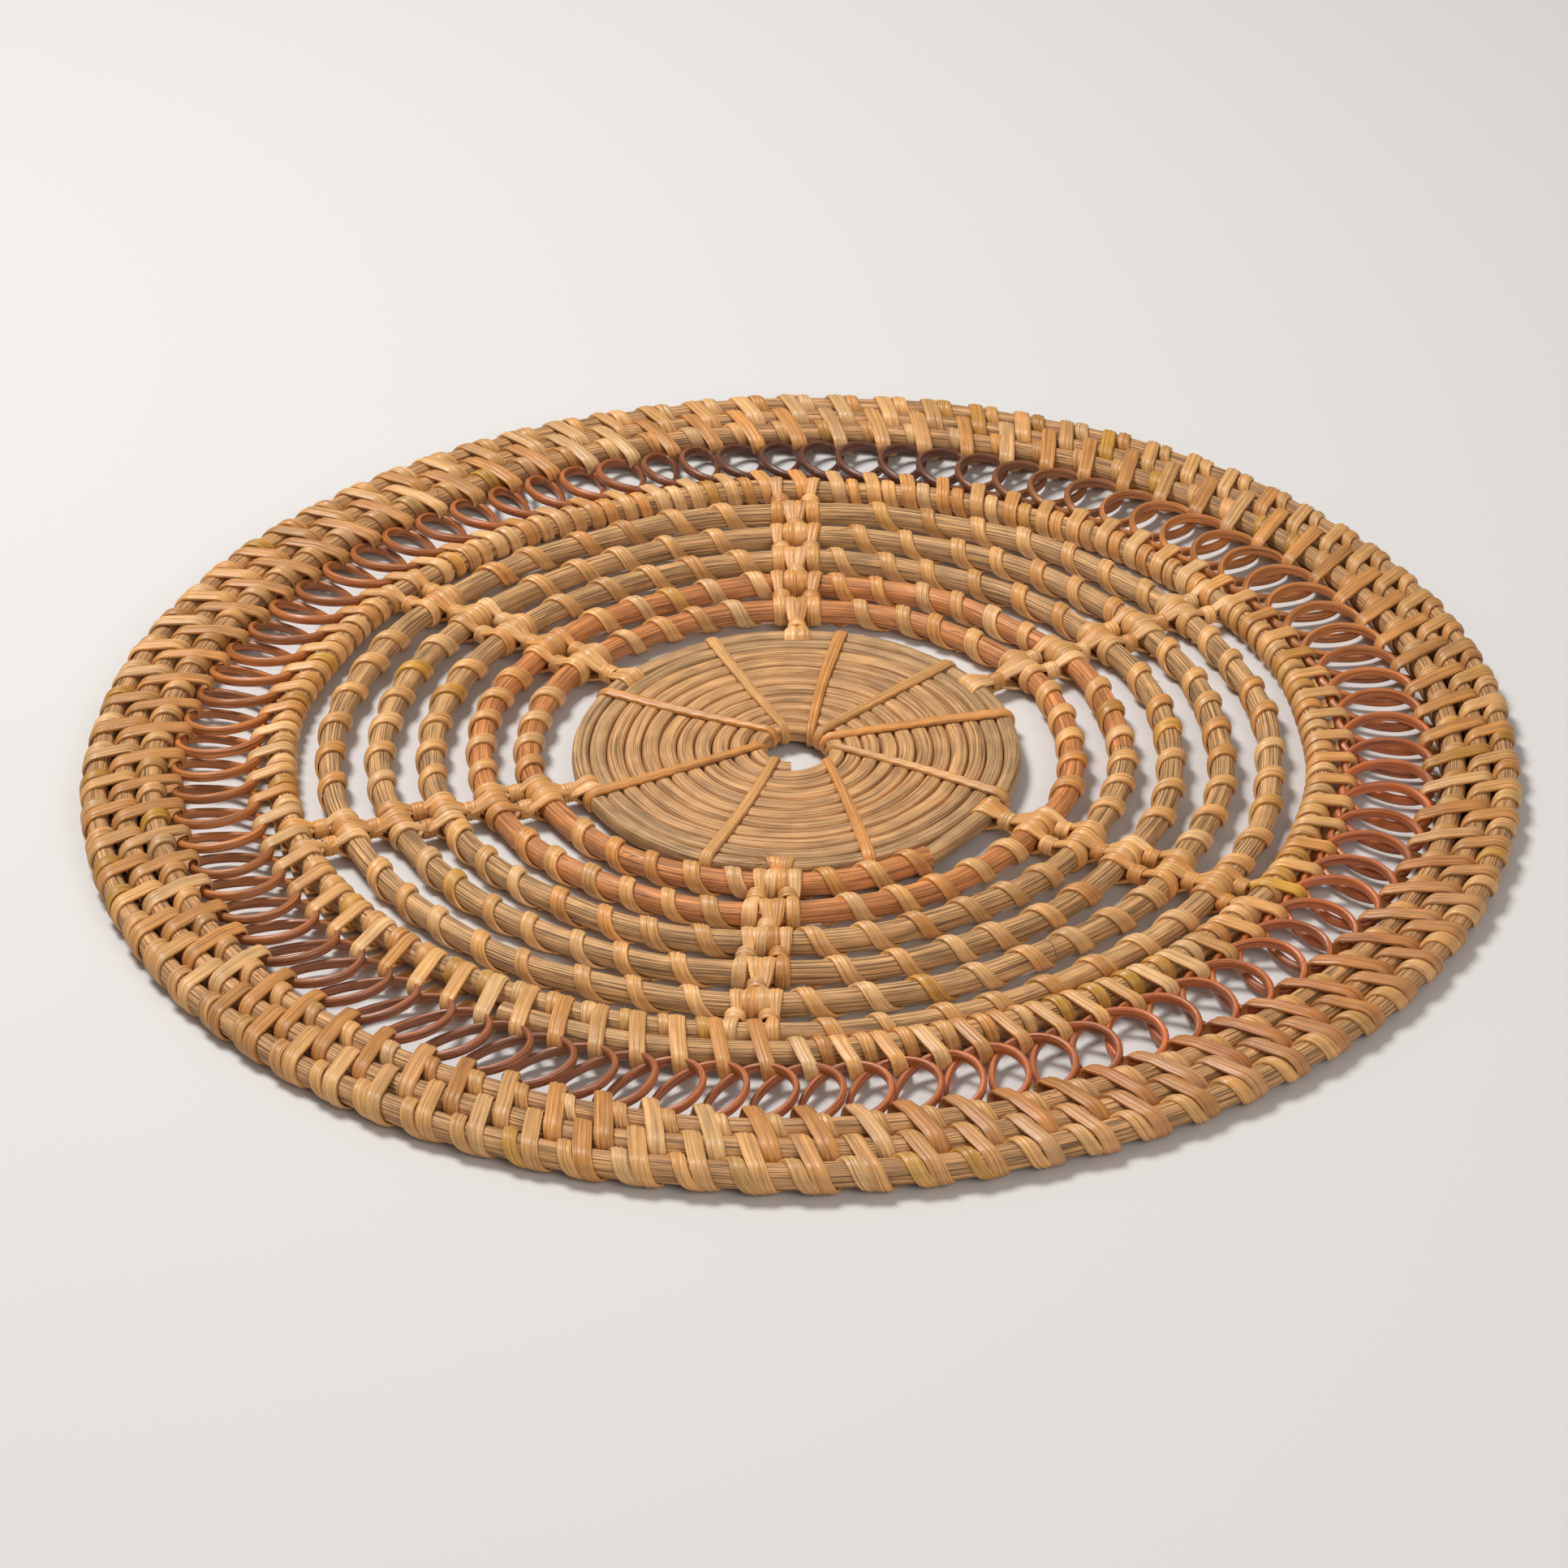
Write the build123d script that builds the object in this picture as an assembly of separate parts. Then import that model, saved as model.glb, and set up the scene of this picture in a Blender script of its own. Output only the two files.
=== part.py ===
"""Flat round openwork tray of coiled and whipped rattan, in millimetres.

A tight flat coil of peeled core makes the centre. Its path goes on outwards as a spiral of
thicker rods, whipped with split strips and tied turn to turn at six stations. A ring of
overlapping loops joins the spiral to a border of three round rods, which strips lash together.

The origin is the middle of the tray on the surface it lies on, and +Z is up.
Angles are in degrees, counted from +X towards +Y. The coil and the spiral run outwards
clockwise, and their travelled angle is counted from the point where a rod starts.
"""

from build123d import *
import math
import os

# Split strips
strip_thickness = 0.9
strip_width = 3.6
border_strip_width = 3.3
strip_gap = 0.1
strip_slant = 20

# Border of three rods
border_rod_radius = 2.9
outer_rod_ring = 171.4
middle_rod_ring = 164.5
inner_rod_ring = 157.6
station_count = 84

mid_height = border_rod_radius + strip_gap + strip_thickness

# Centre coil of thinner core
core_radius = 2.1
core_pitch = 4.28
core_hole_radius = 5.8
core_turns = 10.84
core_centre = Vector(-2.0, -0.8)
core_end_angle = 325
core_tail_angle = 12
core_tail_radius = 100

# Spiral of whipped rods
rod_radius = 2.85
rod_pitch = 12.12
spiral_centre = Vector(-3.0, 1.3)
spiral_start_angle = 304
spiral_start_radius = 58.66
spiral_half_turns = 11
last_plain_sweep = 124
closing_sweeps = (49, 40)
pressed_sweep = 31
pressed_spacing = 6.9
pressed_limit = 8.4
orange_rod_sweep = 666
inner_tan_rod_sweep = 1440
rod_end_gap = 0.2

# Whipping: wraps in each turn of the spiral, from the innermost turn
whipping_wraps = (38, 44, 44, 50, 53)

# Ties between turns
tie_angles = (32, 90, 142, 197, 264, 327)
tie_spacing = 4.1
tie_waist_half_height = 1.3
tie_shoulder = 2.2
knot_thickness = 0.7
knot_length = 3.4
hook_reach = 1.2

# Ring of loops between the spiral and the border
loop_centre_ring = 142.35
loop_radius = 10.0
loop_strand_radius = 1.2
loop_tilt = 14.6

# Binding strips across the centre coil: angle at the hole, angle at the edge
spoke_angles = (
    (22, 14),
    (46, 44),
    (70, 78),
    (116, 114),
    (140, 152),
    (184, 202),
    (230, 245),
    (308, 288),
    (350, 334),
)
spoke_width = 3.5
spoke_hole_width = 2.0

# Lashing of the border, as angles from each station's start
outer_long_offset = 0.0
inner_long_offset = 0.60
inner_short_offset = 1.54
outer_short_offset = 3.30

wrap_radius = rod_radius + strip_gap + strip_thickness
station_angle = 360 / station_count


def direction(angle):
    """The unit vector in the plane of the tray at an angle."""
    return Vector(math.cos(math.radians(angle)), math.sin(math.radians(angle)))


def place(point, angle):
    """The location at mid height whose X axis points along an angle."""
    return Location((point.X, point.Y, mid_height), (0, 0, angle))


# A path is a list of clockwise arcs, each (centre, radius, angle at its start, swept angle).


def tangent_arcs(point, angle, spans):
    """Arcs that each leave the last one's end in line with it, from spans of (sweep, radius)."""
    arcs = []
    for swept, radius in spans:
        centre = point - direction(angle) * radius
        arcs.append((centre, radius, angle, swept))
        angle -= swept
        point = centre + direction(angle) * radius
    return arcs


def spiral_spans(start_radius, pitch, half_turns):
    """Half turns whose radius grows by half a pitch each, which make an even spiral."""
    return [(180, start_radius + pitch / 4 + k * pitch / 2) for k in range(half_turns)]


def path_piece(arcs, start, end):
    """The part of a path between two travelled angles."""
    piece = []
    travelled = 0
    for centre, radius, angle, swept in arcs:
        first = max(start - travelled, 0)
        last = min(end - travelled, swept)
        if last > first:
            piece.append((centre, radius, angle - first, last - first))
        travelled += swept
    return piece


def path_point(arcs, travelled):
    """The point and the outward angle at a travelled angle."""
    for centre, radius, angle, swept in arcs:
        if travelled <= swept:
            break
        travelled -= swept
    travelled = min(travelled, swept)
    return centre + direction(angle - travelled) * radius, angle - travelled


def path_crossing(arcs, around, angle, turn):
    """The travelled angle, point and distance where a turn of a path passes an angle around a point."""
    total = sum(arc[3] for arc in arcs)
    travelled = (arcs[0][2] - angle) % 360 + 360 * turn
    if travelled > total:
        return None
    for _ in range(6):
        point, _ = path_point(arcs, travelled)
        offset = point - around
        seen = math.degrees(math.atan2(offset.Y, offset.X))
        travelled += (seen - angle + 180) % 360 - 180
    if travelled < 0 or travelled > total:
        return None
    return travelled, point, offset.length


def rod_along(arcs, radius):
    """A round rod along a path."""
    pieces = []
    for centre, ring, angle, swept in arcs:
        end = angle - swept
        middle = centre + direction(end) * ring
        section = Plane(
            origin=(middle.X, middle.Y, mid_height),
            x_dir=direction(end),
            z_dir=direction(end + 90),
        )
        axis = Axis((centre.X, centre.Y, 0), (0, 0, 1))
        pieces.append(revolve(section * Circle(radius), axis=axis, revolution_arc=swept))
    rod = pieces[0].solid()
    if len(pieces) > 1:
        rod = rod.fuse(*[piece.solid() for piece in pieces[1:]])
    return rod.solid()


def ring_rod(ring, radius):
    """A closed round rod around the middle of the tray."""
    return Pos(0, 0, mid_height) * Torus(ring, radius)


def band(inside_radius, reach, width, slant):
    """A closed strip round one rod, or round everything up to reach further out along X.

    The rod runs along Y. The strip's sides are upright planes that a slant turns about Z.
    """
    length = 4 * width + 4 * inside_radius + 2 * reach
    flat = Plane.XZ.offset(-length / 2)
    outside_radius = inside_radius + strip_thickness
    if reach > 0:
        outside = Pos(reach / 2, 0) * SlotCenterToCenter(reach, 2 * outside_radius)
        inside = Pos(reach / 2, 0) * SlotCenterToCenter(reach, 2 * inside_radius)
    else:
        outside = Circle(outside_radius)
        inside = Circle(inside_radius)
    tube = extrude(flat * (outside - inside), length)
    slab = Pos(reach / 2, 0) * Rot(0, 0, slant) * Box(length, width, length)
    return (tube & slab).solid()


def slant_angle(along, ring, slant):
    """How far a slanted strip turns around the tray over a distance along the radius."""
    return math.degrees(along * math.tan(math.radians(slant)) / ring)


def coil_path():
    """The centre coil, whose last turn leaves the others in a short tail."""
    half_turns = int(core_turns * 2)
    rest = (core_turns * 2 - half_turns) * 180
    start_radius = core_hole_radius + core_radius
    start_angle = core_end_angle + core_turns * 360
    start = core_centre + direction(start_angle) * start_radius
    spans = spiral_spans(start_radius, core_pitch, half_turns + 1)
    spans[-1] = (rest, spans[-1][1])
    spans.append((core_tail_angle, core_tail_radius))
    return tangent_arcs(start, start_angle, spans)


def closing_spans(last, sweeps, centre, radius):
    """The two arcs that lead from the end of a path's last arc onto a given circle."""
    start_centre, start_radius, angle, swept = last
    turned = [angle - swept, angle - swept - sweeps[0], angle - swept - sum(sweeps)]
    first, second, third = [direction(value) for value in turned]
    one = second - first
    two = third - second
    goal = centre - start_centre - first * start_radius + third * radius
    scale = one.X * two.Y - one.Y * two.X
    tight = (goal.X * two.Y - goal.Y * two.X) / scale
    wide = (one.X * goal.Y - one.Y * goal.X) / scale
    return [(sweeps[0], tight), (sweeps[1], wide)]


def spiral_path():
    """The spiral of rods, whose last part closes in on the turn before it."""
    spans = spiral_spans(spiral_start_radius, rod_pitch, spiral_half_turns + 1)
    spans[-1] = (last_plain_sweep, spans[-1][1])
    start = spiral_centre + direction(spiral_start_angle) * spiral_start_radius
    arcs = tangent_arcs(start, spiral_start_angle, spans)
    inner_centre, inner_ring = arcs[-2][:2]
    pressed_ring = inner_ring + pressed_spacing
    spans.extend(closing_spans(arcs[-1], closing_sweeps, inner_centre, pressed_ring))
    spans.append((pressed_sweep, pressed_ring))
    return tangent_arcs(start, spiral_start_angle, spans)


coil = coil_path()
spiral = spiral_path()
spiral_total = sum(arc[3] for arc in spiral)
middle = Vector(0, 0)


def spoke(hole_angle, edge_angle):
    """A strip looped through the hole, over the coil, round its edge and back underneath."""
    half_width = spoke_width / 2
    edge = path_crossing(coil, core_centre, edge_angle, int(core_turns) - 1)
    later = path_crossing(coil, core_centre, edge_angle, int(core_turns))
    outermost = later or edge
    first = path_crossing(coil, core_centre, hole_angle, 0)
    start = core_centre + direction(hole_angle) * first[2]
    end = core_centre + direction(edge_angle) * outermost[2]
    run = end - start
    reach = run.length
    inside_radius = core_radius + strip_gap
    loop = band(inside_radius, reach, spoke_width, 0)
    hole_end = -2 * inside_radius
    edge_end = reach + 2 * inside_radius
    plan = Polyline(
        (hole_end, -spoke_hole_width / 2),
        (edge_end, -half_width),
        (edge_end, half_width),
        (hole_end, spoke_hole_width / 2),
        close=True,
    )
    taper = extrude(make_face(plan), 4 * inside_radius, both=True)
    angle = math.degrees(math.atan2(run.Y, run.X))
    return (loop & taper).solid().moved(place(start, angle))


def doubled_reach(travelled, point):
    """How far inside the outermost rod the turn before it lies, where the two are pressed together."""
    if travelled < spiral_total - pressed_sweep:
        return 0
    angle = math.degrees(math.atan2(point.Y, point.X))
    inner = path_crossing(spiral, middle, angle, len(whipping_wraps))
    return (point - middle).length - inner[2]


def outermost_crossing(angle):
    """Where the spiral's outermost turn passes an angle around the middle."""
    found = None
    for turn in range(len(whipping_wraps) + 2):
        found = path_crossing(spiral, middle, angle, turn) or found
    return found


def tie_places():
    """Each tie as (station, gap, angle around the middle, inner and outer crossing)."""
    places = []
    for station, angle in enumerate(tie_angles):
        for gap in range(len(whipping_wraps) + 1):
            shifts = (0,) if gap % 2 == 0 else (-tie_spacing, tie_spacing)
            for shift in shifts:
                outer = path_crossing(spiral, middle, angle, gap)
                if outer is None:
                    continue
                turned = angle + math.degrees(shift / outer[2])
                if outer == outermost_crossing(angle):
                    turned = short_wrap_angle(turned)
                outer = path_crossing(spiral, middle, turned, gap)
                inner = path_crossing(spiral, middle, turned, gap - 1)
                if gap == 0:
                    inner = path_crossing(coil, middle, turned, int(core_turns))
                    inner = inner or path_crossing(coil, middle, turned, int(core_turns) - 1)
                if inner is None or outer is None:
                    continue
                spacing = outer[2] - inner[2]
                if gap > 0 and spacing < pressed_limit:
                    continue
                places.append((station, gap, turned, inner, outer))
    return places


def loop_angle(index):
    """The angle of a loop: under the inner end of its station's long inner lashing."""
    along = (inner_rod_ring + middle_rod_ring) / 2 - (loop_centre_ring + loop_radius)
    turned = slant_angle(along, inner_rod_ring, strip_slant)
    return index * station_angle + inner_long_offset - turned


def short_wrap_angle(angle):
    """The nearest angle half way between two loops."""
    first = loop_angle(0.5)
    return first + round((angle - first) / station_angle) * station_angle


def tie_strap(inner, outer, gap):
    """A strap in a figure of eight round two neighbouring turns, pinched between them."""
    spacing = outer[2] - inner[2]
    inside = rod_radius + strip_gap
    holes = Pos(spacing, 0) * Circle(inside)
    rings = Pos(spacing, 0) * Circle(wrap_radius)
    shoulder = tie_shoulder
    inner_height = inside
    if gap == 0:
        hook_inside = core_radius + strip_gap
        hook = Circle(hook_inside + strip_thickness)
        reach_box = Pos(spacing / 2 - hook_reach, 0) * Rectangle(spacing, 4 * wrap_radius)
        rings += hook & reach_box
        holes += Circle(hook_inside)
        inner_height = core_radius
        shoulder = hook_inside
    else:
        rings += Circle(wrap_radius)
        holes += Circle(inside)
    waist = Polyline(
        (shoulder, inner_height - strip_gap),
        (spacing / 2, tie_waist_half_height),
        (spacing - tie_shoulder, inside - strip_gap),
        (spacing - tie_shoulder, -inside + strip_gap),
        (spacing / 2, -tie_waist_half_height),
        (shoulder, -inner_height + strip_gap),
        close=True,
    )
    profile = Plane.XZ.offset(-strip_width / 2) * (rings + make_face(waist) - holes)
    return extrude(profile, strip_width).solid()


def tie_knot(inner, outer, gap):
    """The short wrap that pinches a strap between two turns."""
    spacing = outer[2] - inner[2]
    inner_reach = wrap_radius
    if gap == 0:
        inner_reach = core_radius + strip_gap + strip_thickness
    room = spacing - inner_reach - wrap_radius - 2 * strip_gap
    length = min(knot_length, room)
    if length < strip_thickness:
        return None
    middle_x = inner_reach + strip_gap + room / 2
    inside_height = rod_radius + strip_gap
    inside_width = strip_width + 2 * strip_gap
    outside = Box(length, inside_width + 2 * knot_thickness, 2 * (inside_height + knot_thickness))
    inside = Box(length, inside_width, 2 * inside_height)
    return (Pos(middle_x, 0, 0) * (outside - inside)).solid()


def whipping(first, last, wraps, keep_clear):
    """Slanted strips round the spiral between two travelled angles, clear of the ties."""
    template = band(rod_radius + strip_gap, 0, strip_width, strip_slant)
    made = []
    for k in range(wraps):
        travelled = first + (k + 0.5) * (last - first) / wraps
        point, angle = path_point(spiral, travelled)
        if all((point - taken).length > 2 * strip_width - 1 for taken in keep_clear):
            made.append(template.moved(place(point, angle)))
    return made


def save(name, shapes):
    """Writes one sub-part as a STEP file."""
    if isinstance(shapes, list):
        shapes = Compound(children=shapes)
    shapes.label = name
    export_step(shapes, os.path.join("parts", name + ".step"))


os.makedirs("parts", exist_ok=True)

save("centre_coil", rod_along(coil, core_radius))
for number, (hole_angle, edge_angle) in enumerate(spoke_angles, 1):
    save(f"spoke_{number}", spoke(hole_angle, edge_angle))

rod_splits = (0, orange_rod_sweep, inner_tan_rod_sweep, spiral_total)
rod_names = ("rod_orange", "rod_tan_inner", "rod_tan_outer")
for name, first, last in zip(rod_names, rod_splits, rod_splits[1:]):
    last_cut = last if last == spiral_total else last - rod_end_gap
    save(name, rod_along(path_piece(spiral, first, last_cut), rod_radius))

ties = tie_places()
for station in range(len(tie_angles)):
    straps = []
    knots = []
    for tie_station, gap, angle, inner, outer in ties:
        if tie_station != station:
            continue
        spot = place(inner[1], angle)
        straps.append(tie_strap(inner, outer, gap).moved(spot))
        knot = tie_knot(inner, outer, gap)
        if knot:
            knots.append(knot.moved(spot))
    save(f"tie_straps_{station + 1}", straps)
    save(f"tie_knots_{station + 1}", knots)

taken_points = [inner[1] for _, gap, _, inner, _ in ties if gap > 0]
taken_points += [outer[1] for _, _, _, _, outer in ties]
doubled_start = spiral_total - pressed_sweep - 360
for turn, wraps in enumerate(whipping_wraps):
    first = 360 * turn
    last = first + 360
    if turn == len(whipping_wraps) - 1:
        last = doubled_start
        wraps = round(wraps * (last - first) / 360)
    save(f"whipping_turn_{turn + 1}", whipping(first, last, wraps, taken_points))

long_wraps = []
short_wraps = []
wrap_inside = rod_radius + strip_gap
long_end = loop_centre_ring - loop_radius + loop_strand_radius + strip_gap - wrap_inside
for index in range(station_count):
    angle = loop_angle(index)
    travelled, point, radial = outermost_crossing(angle)
    inward = doubled_reach(travelled, point)
    start = direction(angle) * (radial - inward)
    strip = band(wrap_inside, max(long_end, radial) - radial + inward, strip_width, 0)
    long_wraps.append(strip.moved(place(start, angle)))
    angle = loop_angle(index + 0.5)
    travelled, point, radial = outermost_crossing(angle)
    inward = doubled_reach(travelled, point)
    if all((point - taken).length > strip_width for taken in taken_points):
        start = direction(angle) * (radial - inward)
        short_wraps.append(band(wrap_inside, 0, strip_width, 0).moved(place(start, angle)))
save("ring_wraps_long", long_wraps)
save("ring_wraps_short", short_wraps)

loop = (Rot(loop_tilt, 0, 0) * Torus(loop_radius, loop_strand_radius)).solid()
loops = []
for index in range(station_count):
    angle = loop_angle(index)
    loops.append(loop.moved(place(direction(angle) * loop_centre_ring, angle)))
save("loop_coil", loops)

save("border_rod_inner", ring_rod(inner_rod_ring, border_rod_radius))
save("border_rod_middle", ring_rod(middle_rod_ring, border_rod_radius))
save("border_rod_outer", ring_rod(outer_rod_ring, border_rod_radius))


def lashing(ring, reach, offset):
    """One strip at every station, round the rod on a ring and out to reach beyond it."""
    template = band(border_rod_radius + strip_gap, reach, border_strip_width, strip_slant)
    made = []
    for index in range(station_count):
        angle = index * station_angle + offset
        made.append(template.moved(place(direction(angle) * ring, angle)))
    return made


inner_reach_ring = loop_centre_ring + loop_radius - loop_strand_radius - strip_gap
inner_reach_ring += border_rod_radius + strip_gap
save("lashing_outer_long", lashing(middle_rod_ring, outer_rod_ring - middle_rod_ring, outer_long_offset))
save("lashing_inner_long", lashing(inner_reach_ring, middle_rod_ring - inner_reach_ring, inner_long_offset))
save("lashing_inner_short", lashing(inner_rod_ring, 0, inner_short_offset))
save("lashing_outer_short", lashing(outer_rod_ring, 0, outer_short_offset))
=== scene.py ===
"""How a flat openwork tray of coiled and whipped rattan looks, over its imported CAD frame.

Lengths are in millimetres up to make_piece, which turns them into metres. Angles are in degrees
in the driving values and in radians inside the functions, counted from +X towards +Y.
"""
import math
from collections import namedtuple

import bpy
import numpy as np
from mathutils import Matrix, Vector


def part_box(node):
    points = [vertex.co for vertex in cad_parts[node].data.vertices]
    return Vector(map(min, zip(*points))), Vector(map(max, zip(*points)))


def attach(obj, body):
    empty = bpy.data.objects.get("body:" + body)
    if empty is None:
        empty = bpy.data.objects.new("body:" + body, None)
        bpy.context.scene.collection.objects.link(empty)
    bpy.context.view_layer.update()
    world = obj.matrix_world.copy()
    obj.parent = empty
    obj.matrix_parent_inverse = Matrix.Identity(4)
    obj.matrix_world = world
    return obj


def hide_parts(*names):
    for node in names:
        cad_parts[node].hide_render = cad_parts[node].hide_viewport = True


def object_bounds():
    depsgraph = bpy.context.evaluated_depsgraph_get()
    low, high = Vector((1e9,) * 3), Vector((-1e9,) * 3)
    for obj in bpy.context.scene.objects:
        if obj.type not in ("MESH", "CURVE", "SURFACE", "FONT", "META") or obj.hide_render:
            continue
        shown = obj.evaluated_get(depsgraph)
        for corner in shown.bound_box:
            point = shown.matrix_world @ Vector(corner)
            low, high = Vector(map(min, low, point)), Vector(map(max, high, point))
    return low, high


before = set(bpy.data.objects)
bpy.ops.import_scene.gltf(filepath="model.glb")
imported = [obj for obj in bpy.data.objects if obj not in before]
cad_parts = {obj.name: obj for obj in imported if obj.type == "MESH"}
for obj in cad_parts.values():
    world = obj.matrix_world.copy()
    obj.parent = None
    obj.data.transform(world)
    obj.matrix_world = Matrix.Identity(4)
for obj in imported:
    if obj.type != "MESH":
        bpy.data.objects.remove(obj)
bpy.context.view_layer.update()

metre = 1000.0


def node_size(node):
    """A CAD node's width, depth and height in millimetres."""
    low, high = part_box(node)
    return [(b - a) * metre for a, b in zip(low, high)]


# Border, from the CAD rings
border_rod_radius = node_size("border_rod_outer")[2] / 2
outer_ring = node_size("border_rod_outer")[0] / 2 - border_rod_radius
middle_ring = node_size("border_rod_middle")[0] / 2 - border_rod_radius
inner_ring = node_size("border_rod_inner")[0] / 2 - border_rod_radius
mid_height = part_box("border_rod_outer")[0][2] * metre + border_rod_radius
station_count = 84

# Spiral of rods: its last arcs close in on the turn before and then press against it
rod_radius = node_size("rod_tan_outer")[2] / 2
rod_pitch = 12.12
spiral_centre = (-3.0, 1.3)
spiral_start_angle = 304
spiral_start_radius = 58.66
spiral_half_turns = 11
last_plain_sweep = 124
closing_sweeps = (49, 40)
pressed_sweep = 31
pressed_spacing = 6.9
orange_turns = 1.85
inner_tan_turns = 4
rod_gap = 0.2

# Centre coil: its last arc is a tail that leaves the others
core_radius = node_size("centre_coil")[2] / 2
core_pitch = 4.28
core_hole_radius = 5.8
core_turns = 10.84
core_centre = (-2.0, -0.8)
core_end_angle = 325
core_tail_sweep = 12
core_tail_radius = 100
core_flatness = 0.6

# Loose fibres: the largest tuft is on the centre coil
fray_angle = 266
fibre_width = 0.28
fibre_thickness = 0.12

# Split strips
strip_seat = 0.1
strip_thickness = 0.9
strip_width = 3.6
border_strip_width = 3.9
strip_slant = math.tan(math.radians(20))

# Whipping, by turn, ties and ring wraps
whipping_wraps = (38, 44, 44, 50, 53)
whipping_clearance = 5.6
tie_angles = (32, 90, 142, 197, 264, 327)
tie_spacing = 4.1
tie_least_gap = 8.4
strap_spread = 1.75
lone_strap_spread = 0.85
strap_lean = 0.9
knot_turns = 2.1
knot_half_width = 2.0
knot_half_height = 1.7
knot_thickness = 0.6
knot_lengths = (1.2, 4.6)
knot_clearance = 1.2
knot_strips = 1.75
long_wrap_advance = 6.0
short_wrap_advance = 5.0
short_wrap_clearance = 3.6
wrap_over_loop = 1.0

# Loops: the strand, the turns' size, and how far each part of a turn is moved along the ring
loop_ring = 142.35
loop_radius = 10.0
strand_radius = 1.15
strand_narrowness = 0.72
strand_tallness = 1.1
strand_squareness = 0.75
loop_offset = 1.0
loop_rise = 1.7
loop_tilt = 0.6
loop_bulge = 7.7
loop_top_bulge = 0.8
loop_top_share = 0.65
loop_lean = 4.0
loop_lean_angle = 226
loop_lean_spread = 24

# Lashing of the border, in degrees from each station's start
lashing_offsets = {"outer_long": 0.0, "inner_long": 0.60, "inner_short": 1.54, "outer_short": 3.30}
lashing_over_loop = 0.7
short_strip_share = 0.85

# Binding strips across the centre coil: angle at the hole, angle at the edge
spoke_angles = (
    (22, 14), (46, 44), (70, 78), (116, 114), (140, 152), (184, 202), (230, 245), (308, 288), (350, 334),
)
spoke_widths = (2.1, 3.1)
spoke_thickness = 1.0
spoke_sway = 0.8

# Camera, fitted to the photograph: degrees and metres
camera_elevation = 32.84
camera_distance = 1.339
camera_target = (-0.0012, -0.0008)
camera_roll = -0.95
lens_length = 125.7
lens_shift = (-0.0071, -0.0195)

# Detail of the meshes: the arc for each point of a rail is in degrees times millimetres
arc_per_point = 40
ring_points = 1500
rod_sides = 24
rod_step = 2.0
core_sides = 20
core_step = 1.4
loop_sides = 14
loop_steps = 44

chance = np.random.default_rng(28)
full = 2 * math.pi


# Rails: the lines that rods and strips follow


def wander(run, size, counts, random):
    """A smooth random offset along a run from 0 to 1 that ends as it begins."""
    offset = np.zeros_like(run)
    for _ in range(5):
        waves = random.integers(*counts)
        offset += np.sin(full * waves * run + random.uniform(0, full)) * size / 2.2
    return offset


class Rail:
    """A line through the tray, as points by length, with the outward angle at each."""

    def __init__(self, lengths, x, y, outward, size=(0.0, 0.0), counts=(5, 30), whole=None):
        run = lengths / (whole or lengths[-1])
        sideways = wander(run, size[0], counts, chance)
        self.lengths = lengths
        self.outward = outward
        self.x = x + sideways * np.cos(outward)
        self.y = y + sideways * np.sin(outward)
        self.z = mid_height + wander(run, size[1], counts, chance)
        self.polar = np.unwrap(np.arctan2(self.y, self.x))
        self.distance = np.hypot(self.x, self.y)

    def points(self, along, across, up):
        """Points beside the line: across is outwards and up is upwards."""
        outward = np.interp(along, self.lengths, self.outward)
        x = np.interp(along, self.lengths, self.x) + across * np.cos(outward)
        y = np.interp(along, self.lengths, self.y) + across * np.sin(outward)
        z = np.interp(along, self.lengths, self.z) + up
        return np.stack(np.broadcast_arrays(x, y, z), axis=-1)

    def directions(self, along, across, up):
        """Directions at places along the line, from their outward and upward parts."""
        outward = np.interp(along, self.lengths, self.outward)
        return np.stack(np.broadcast_arrays(across * np.cos(outward), across * np.sin(outward), up), axis=-1)

    def distance_at(self, along):
        """How far from the middle of the tray the line is."""
        return np.interp(along, self.lengths, self.distance)

    def crossings(self, angle):
        """The lengths where a clockwise line passes an angle around the middle, inner turns first."""
        first = self.polar[0] - (self.polar[0] - angle) % full
        targets = np.arange(first, self.polar[-1], -full)
        return np.interp(-targets, -self.polar, self.lengths)


def clockwise_rail(point, angle, spans, **shape):
    """A rail of tangent arcs, from the start point, its outward angle and spans of (sweep, radius)."""
    lengths, xs, ys, outwards = [], [], [], []
    length = 0
    for sweep, radius in spans:
        count = max(3, int(sweep * radius / arc_per_point))
        steps = np.linspace(0, math.radians(sweep), count, endpoint=False)
        centre = point - radius * np.array([math.cos(angle), math.sin(angle)])
        lengths.append(length + steps * radius)
        xs.append(centre[0] + radius * np.cos(angle - steps))
        ys.append(centre[1] + radius * np.sin(angle - steps))
        outwards.append(angle - steps)
        angle -= math.radians(sweep)
        length += math.radians(sweep) * radius
        point = centre + radius * np.array([math.cos(angle), math.sin(angle)])
    lengths.append([length])
    xs.append([point[0]])
    ys.append([point[1]])
    outwards.append([angle])
    return Rail(*(np.concatenate(values) for values in (lengths, xs, ys, outwards)), **shape)


def ring_rail(radius, **shape):
    """A counter-clockwise circle around the middle, with a quarter turn to spare at both ends."""
    angles = np.linspace(-0.25 * full, 1.25 * full, ring_points)
    x, y = radius * np.cos(angles), radius * np.sin(angles)
    return Rail(angles * radius, x, y, angles, whole=full * radius, **shape)


def half_turns(start_radius, pitch, count):
    """Half turns whose radius grows evenly."""
    return [(180, start_radius + pitch / 4 + k * pitch / 2) for k in range(count)]


def unit(angle):
    """The level direction at an angle in degrees."""
    return np.array([math.cos(math.radians(angle)), math.sin(math.radians(angle))])


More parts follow.
